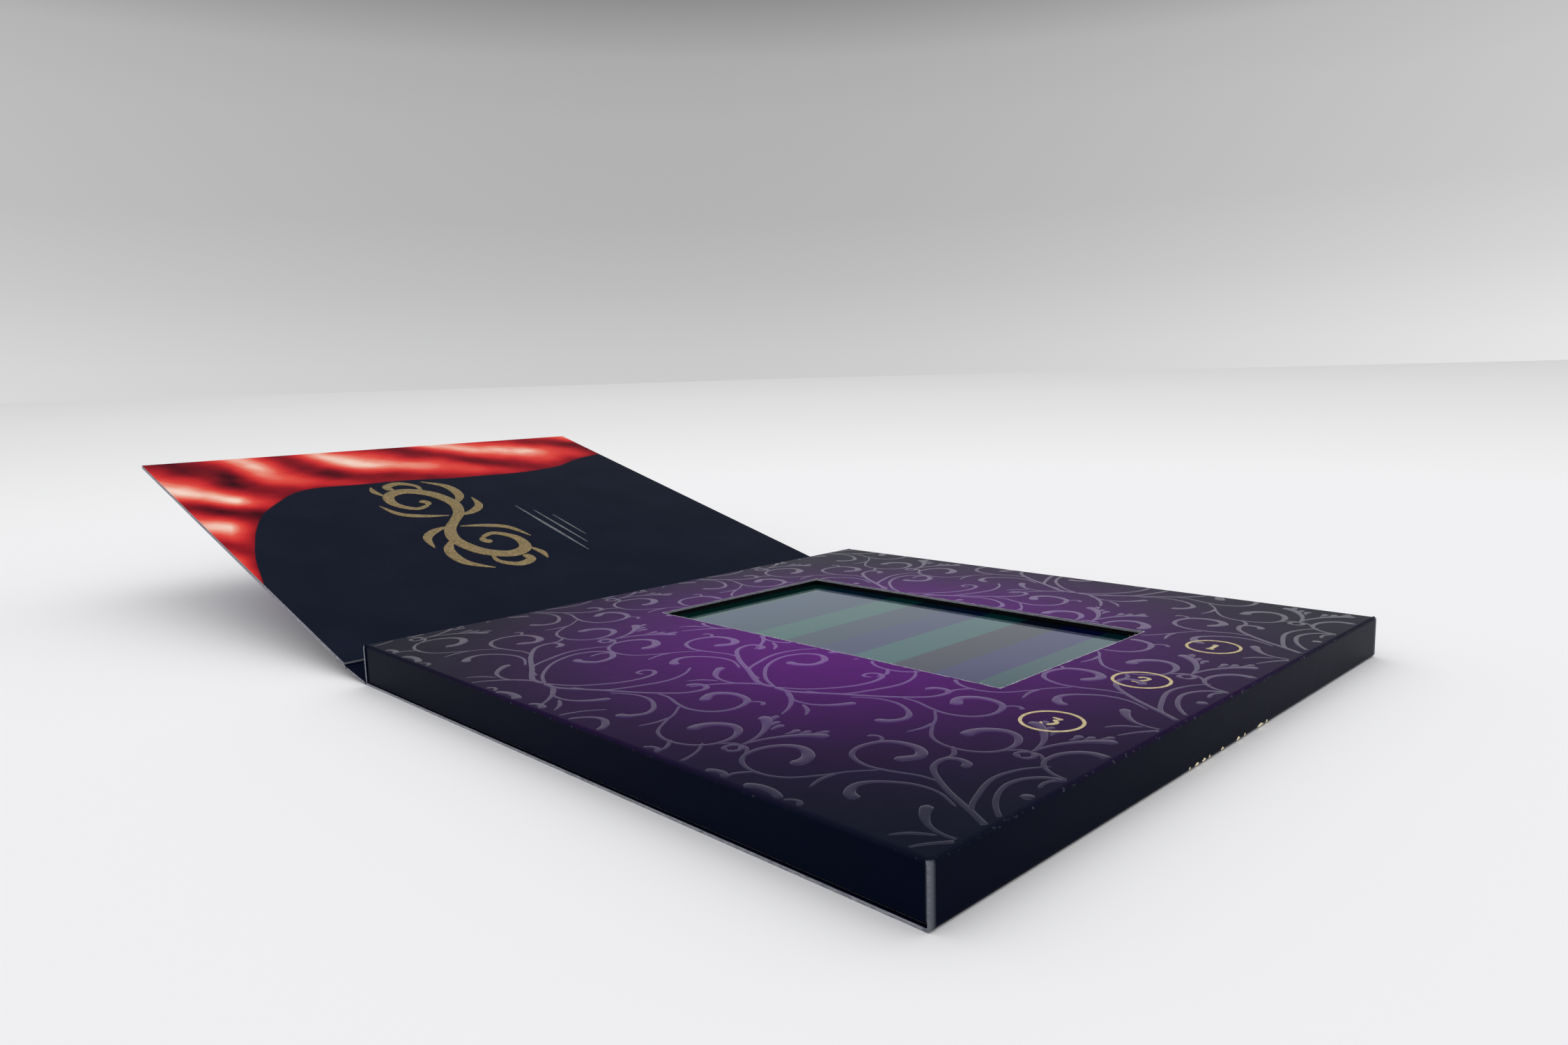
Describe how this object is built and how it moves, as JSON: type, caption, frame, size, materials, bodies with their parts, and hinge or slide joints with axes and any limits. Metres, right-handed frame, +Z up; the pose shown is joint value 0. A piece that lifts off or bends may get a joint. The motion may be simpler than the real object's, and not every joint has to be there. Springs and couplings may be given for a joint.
{
  "type": "video brochure",
  "caption": "Card video brochure: a thin square case with a landscape screen behind a window, printed push buttons beside it, and a card cover on a scored spine.",
  "frame": {"origin": "centre of the case's underside, where it lies on its back", "axes": "+X from the spine to the free edge, +Y along the spine towards the charging port, +Z up out of the screen"},
  "size_m": [0.3149, 0.157, 0.0412],
  "materials": {
    "printed_card": "satin",
    "liner_card": "satin",
    "grey_board": "matte",
    "cradle_foam": "matte",
    "gasket_foam": "matte",
    "frame_steel": "satin",
    "screen_cell": "gloss",
    "screen_polariser": "gloss",
    "white_plastic": "matte",
    "flat_ribbon": "satin",
    "white_ribbon": "satin",
    "circuit_board": "satin",
    "socket_plastic": "matte",
    "chip_black": "matte",
    "can_metal": "satin",
    "capacitor_ceramic": "satin",
    "reed_glass": "gloss",
    "pouch_foil": "satin",
    "red_wire": "satin",
    "black_wire": "satin",
    "magnet_plating": "satin",
    "coil_copper": "satin",
    "cone_film": "satin",
    "button_plastic": "matte"
  },
  "bodies": {
    "case": {"battery_board": "circuit_board", "battery_lead_black": "black_wire", "battery_lead_red": "red_wire", "battery_pouch": "pouch_foil", "board_capacitors": "capacitor_ceramic", "button_1_dome": "frame_steel", "button_1_housing": "chip_black", "button_2_dome": "frame_steel", "button_2_housing": "chip_black", "button_3_dome": "frame_steel", "button_3_housing": "chip_black", "button_board": "circuit_board", "button_ribbon": "white_ribbon", "case_card": "printed_card", "clock_crystal": "can_metal", "foam_cradle": "cradle_foam", "main_board": "circuit_board", "memory_chip": "chip_black", "power_inductor": "chip_black", "reed_switch": "reed_glass", "ribbon_socket": "socket_plastic", "screen_backlight": "white_plastic", "screen_film": "screen_polariser", "screen_frame": "frame_steel", "screen_gasket": "gasket_foam", "screen_glass": "screen_cell", "screen_ribbon": "flat_ribbon", "speaker_coil": "coil_copper", "speaker_cone": "cone_film", "speaker_frame": "chip_black", "speaker_lead_black": "black_wire", "speaker_lead_red": "red_wire", "speaker_magnet": "magnet_plating", "speaker_pole_plate": "frame_steel", "speaker_pot": "frame_steel", "stiffener_board": "grey_board", "usb_shell": "can_metal", "usb_tongue": "chip_black", "video_chip": "chip_black"},
    "spine": {"spine_panel": "printed_card"},
    "cover": {"cover_panel": "printed_card", "cover_liner": "liner_card", "cover_magnet": "magnet_plating"},
    "button_1": {"button_1_plunger": "button_plastic"},
    "button_2": {"button_2_plunger": "button_plastic"},
    "button_3": {"button_3_plunger": "button_plastic"}
  },
  "joints": [
    {"name": "spine_crease", "type": "hinge", "parent": "case", "child": "spine", "pos_m": [-0.0772, 0, 0.00025], "axis": [0, 1, 0], "range_deg": [-10, 80]},
    {"name": "cover_crease", "type": "hinge", "parent": "spine", "child": "cover", "pos_m": [-0.087, 0, 0.00198], "axis": [0, 1, 0], "range_deg": [-4.3, 85.7]},
    {"name": "button_1_press", "type": "slide", "parent": "case", "child": "button_1", "axis": [0, 0, -1], "range_m": [0, 0.00025], "stiffness_N_per_m": 3000, "springref_m": -0.0001, "deforming": ["button_1_dome"]},
    {"name": "button_2_press", "type": "slide", "parent": "case", "child": "button_2", "axis": [0, 0, -1], "range_m": [0, 0.00025], "stiffness_N_per_m": 3000, "springref_m": -0.0001, "deforming": ["button_2_dome"]},
    {"name": "button_3_press", "type": "slide", "parent": "case", "child": "button_3", "axis": [0, 0, -1], "range_m": [0, 0.00025], "stiffness_N_per_m": 3000, "springref_m": -0.0001, "deforming": ["button_3_dome"]}
  ]
}
